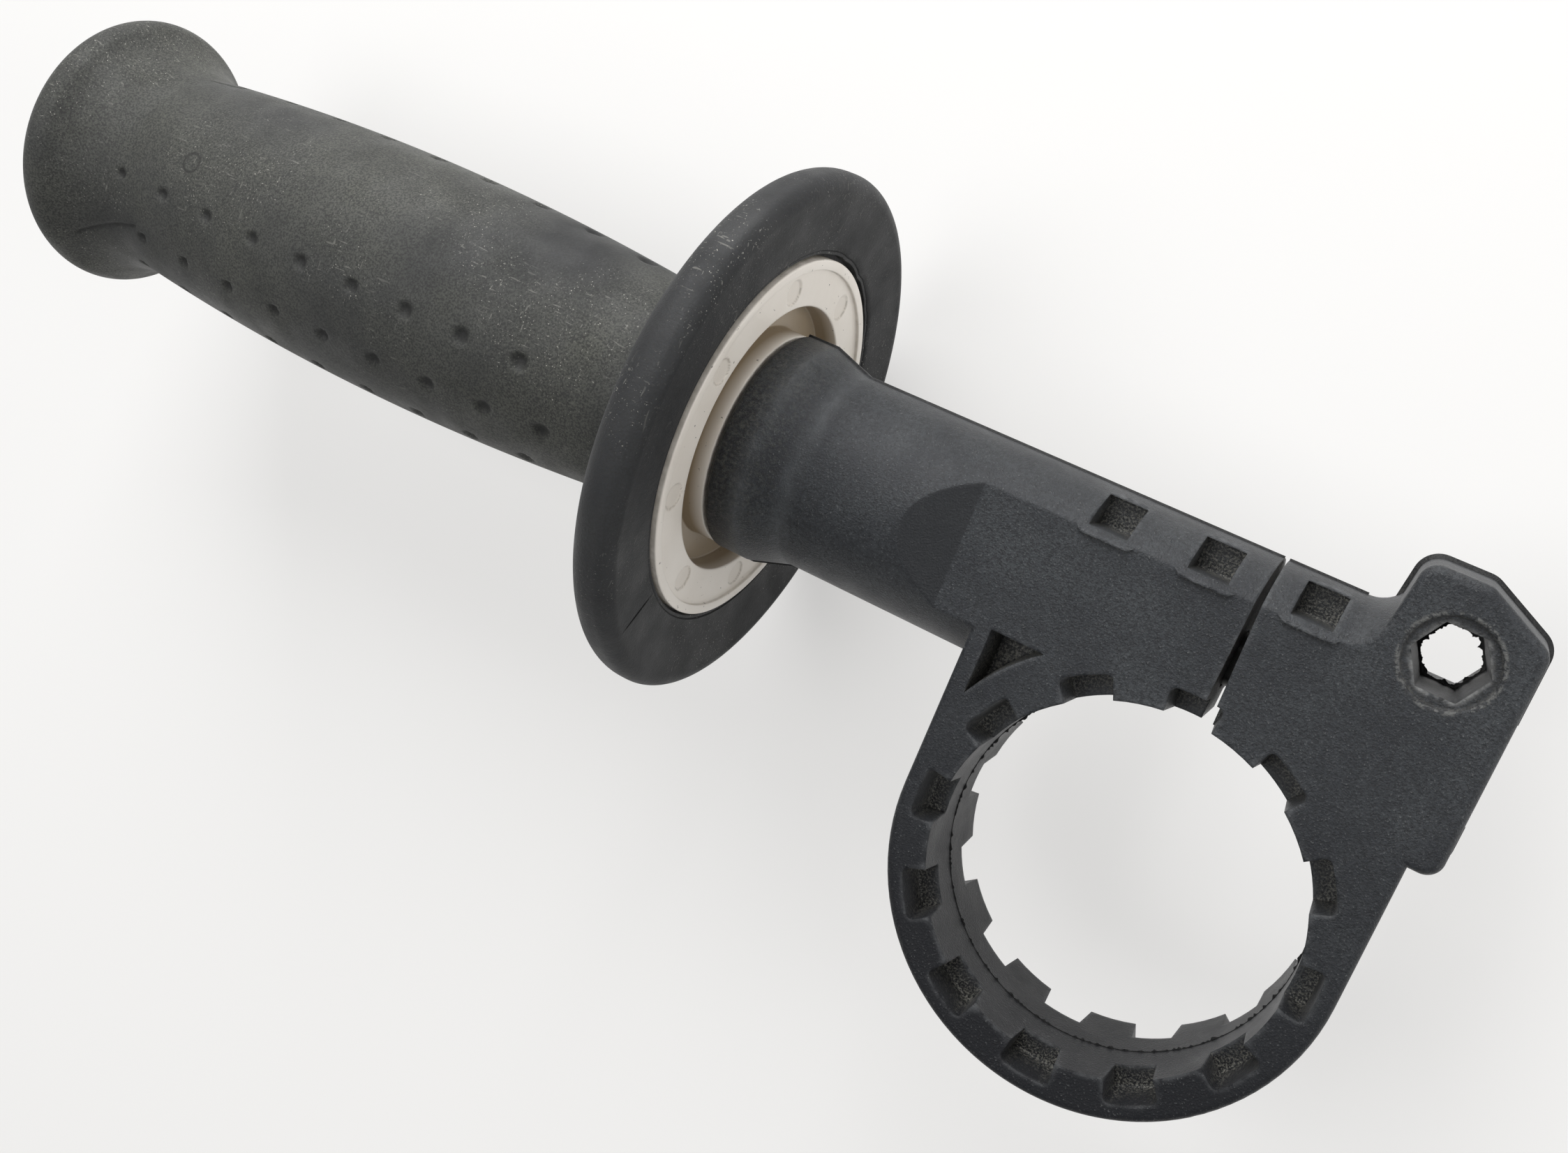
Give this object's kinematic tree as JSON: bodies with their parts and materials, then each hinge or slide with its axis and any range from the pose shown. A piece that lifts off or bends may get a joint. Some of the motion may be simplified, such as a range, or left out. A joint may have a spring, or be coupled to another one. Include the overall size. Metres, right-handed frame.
{
  "type": "power tool side handle",
  "caption": "Clamp-on auxiliary handle: dimpled rubber grip with hand guard, tubular arm and split toothed clamp ring with a hexagonal depth-rod hole.",
  "frame": {"origin": "centre of the clamp bore, halfway through the ring", "axes": "+Z along the clamp bore, +X along the grip axis from the pommel towards the jaw, +Y from the bore towards the tube of the arm"},
  "size_m": [0.2572, 0.1089, 0.0844],
  "materials": {
    "arm_plastic": "fine spark-eroded texture, dusty",
    "bolt_steel": "zinc plated",
    "washer_steel": "stamped, plain",
    "core_plastic": "smooth moulded, slightly glossy",
    "grip_rubber": "matt, worn and dusty"
  },
  "bodies": {
    "arm": {"clamp_arm": "arm_plastic", "clamp_bolt": "bolt_steel"},
    "washer": {"thrust_washer": "washer_steel"},
    "grip": {"grip_sleeve": "grip_rubber", "grip_core": "core_plastic", "insert_nut": "bolt_steel"}
  },
  "joints": [
    {"name": "washer_slide", "type": "slide", "parent": "arm", "child": "washer", "axis": [-1, 0, 0], "range_m": [0, 0.0126]},
    {"name": "grip_spin", "type": "hinge", "parent": "washer", "child": "grip", "pos_m": [-0.0755, 0.0344, 0], "axis": [-1, 0, 0], "range_deg": [0, 3600]}
  ],
  "couplings": [
    {"joint": "washer_slide", "follows": "grip_spin", "m_per_rad": 0.00019894}
  ]
}
